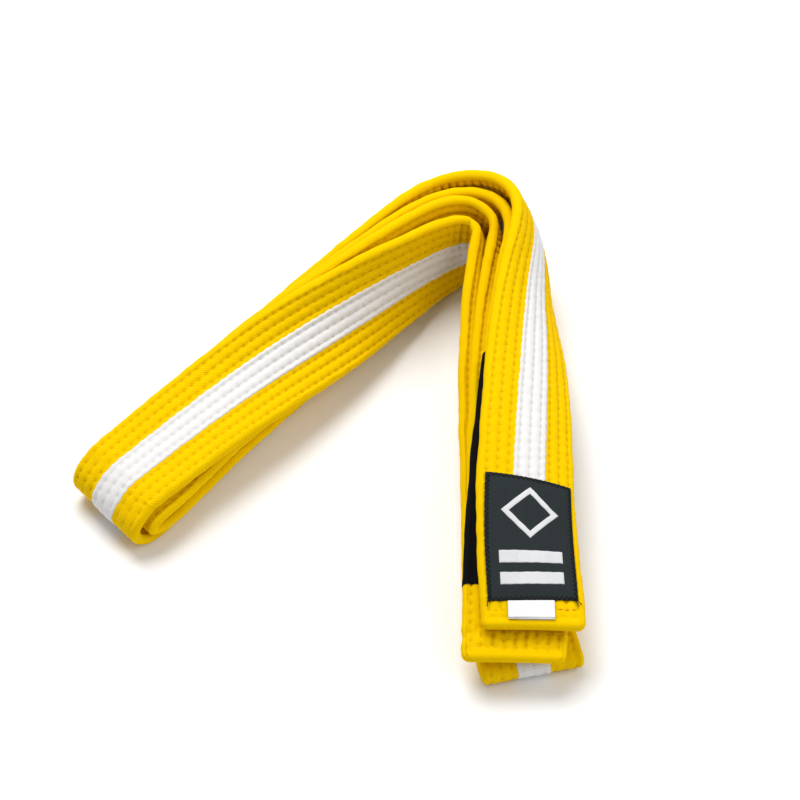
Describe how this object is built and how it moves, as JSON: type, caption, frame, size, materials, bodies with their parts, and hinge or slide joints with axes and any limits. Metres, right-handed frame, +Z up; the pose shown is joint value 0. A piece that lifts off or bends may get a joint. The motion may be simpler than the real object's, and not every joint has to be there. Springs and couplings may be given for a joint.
{
  "type": "martial arts belt",
  "caption": "Quilted cotton martial arts belt with a white centre stripe, black rank bar and woven label, folded into a V-shaped bundle lying on a table.",
  "frame": {"origin": "centre of the bundle's footprint, on the floor it lies on", "axes": "+Z up, the two arms open towards -Y, left fold at -X, front fold and both belt ends at +X"},
  "size_m": [0.1997, 0.2305, 0.054],
  "materials": {
    "yellow_cotton": "cotton twill quilted with rows of lockstitch",
    "core_cotton": "plain cotton sheeting",
    "white_ribbon": "ribbed grosgrain ribbon",
    "black_cotton": "black cotton twill",
    "label_weave": "fine damask weave",
    "white_thread": "woven white thread",
    "black_thread": "zigzag stitched thread",
    "tag_satin": "white satin ribbon"
  },
  "bodies": {
    "right_arm": {"cover_front_fold": "yellow_cotton", "core_front_fold": "core_cotton", "stripe_front_fold": "white_ribbon", "cover_label_run": "yellow_cotton", "core_label_run": "core_cotton", "stripe_label_run": "white_ribbon", "cover_rank_run": "yellow_cotton", "core_rank_run": "core_cotton", "stripe_rank_run": "white_ribbon", "rank_bar": "black_cotton"},
    "left_arm": {"cover_outer_fold": "yellow_cotton", "core_outer_fold": "core_cotton", "stripe_outer_fold": "white_ribbon", "cover_inner_fold": "yellow_cotton", "core_inner_fold": "core_cotton", "stripe_inner_fold": "white_ribbon"},
    "label_end": {"cover_label_end": "yellow_cotton", "core_label_end": "core_cotton", "stripe_label_end": "white_ribbon", "label_end_hem": "yellow_cotton", "woven_label": "label_weave", "label_motif": "white_thread", "label_border_stitch": "black_thread"},
    "size_tag": {"size_tag": "tag_satin"},
    "rank_end": {"cover_rank_end": "yellow_cotton", "core_rank_end": "core_cotton", "stripe_rank_end": "white_ribbon", "rank_end_hem": "yellow_cotton"}
  },
  "joints": [
    {"name": "bend_close", "type": "hinge", "parent": "right_arm", "child": "left_arm", "pos_m": [0.058, 0.083, 0.02], "axis": [0, 0, 1], "range_deg": [0, 15]},
    {"name": "label_end_lift", "type": "hinge", "parent": "right_arm", "child": "label_end", "pos_m": [0.08007, -0.02728, 0.03959], "axis": [-0.9249, 0.0145, 0.38], "range_deg": [0, 50]},
    {"name": "rank_end_lift", "type": "hinge", "parent": "right_arm", "child": "rank_end", "pos_m": [0.07345, -0.08633, 0.02369], "axis": [-0.9913, 0.0175, 0.1307], "range_deg": [0, 25]},
    {"name": "size_tag_flip", "type": "hinge", "parent": "label_end", "child": "size_tag", "pos_m": [0.07876, -0.09459, 0.02963], "axis": [-0.9951, -0.0618, 0.0771], "range_deg": [0, 140]}
  ],
  "couplings": [
    {"joint": "rank_end_lift", "follows": "label_end_lift", "ratio": 0.5}
  ]
}
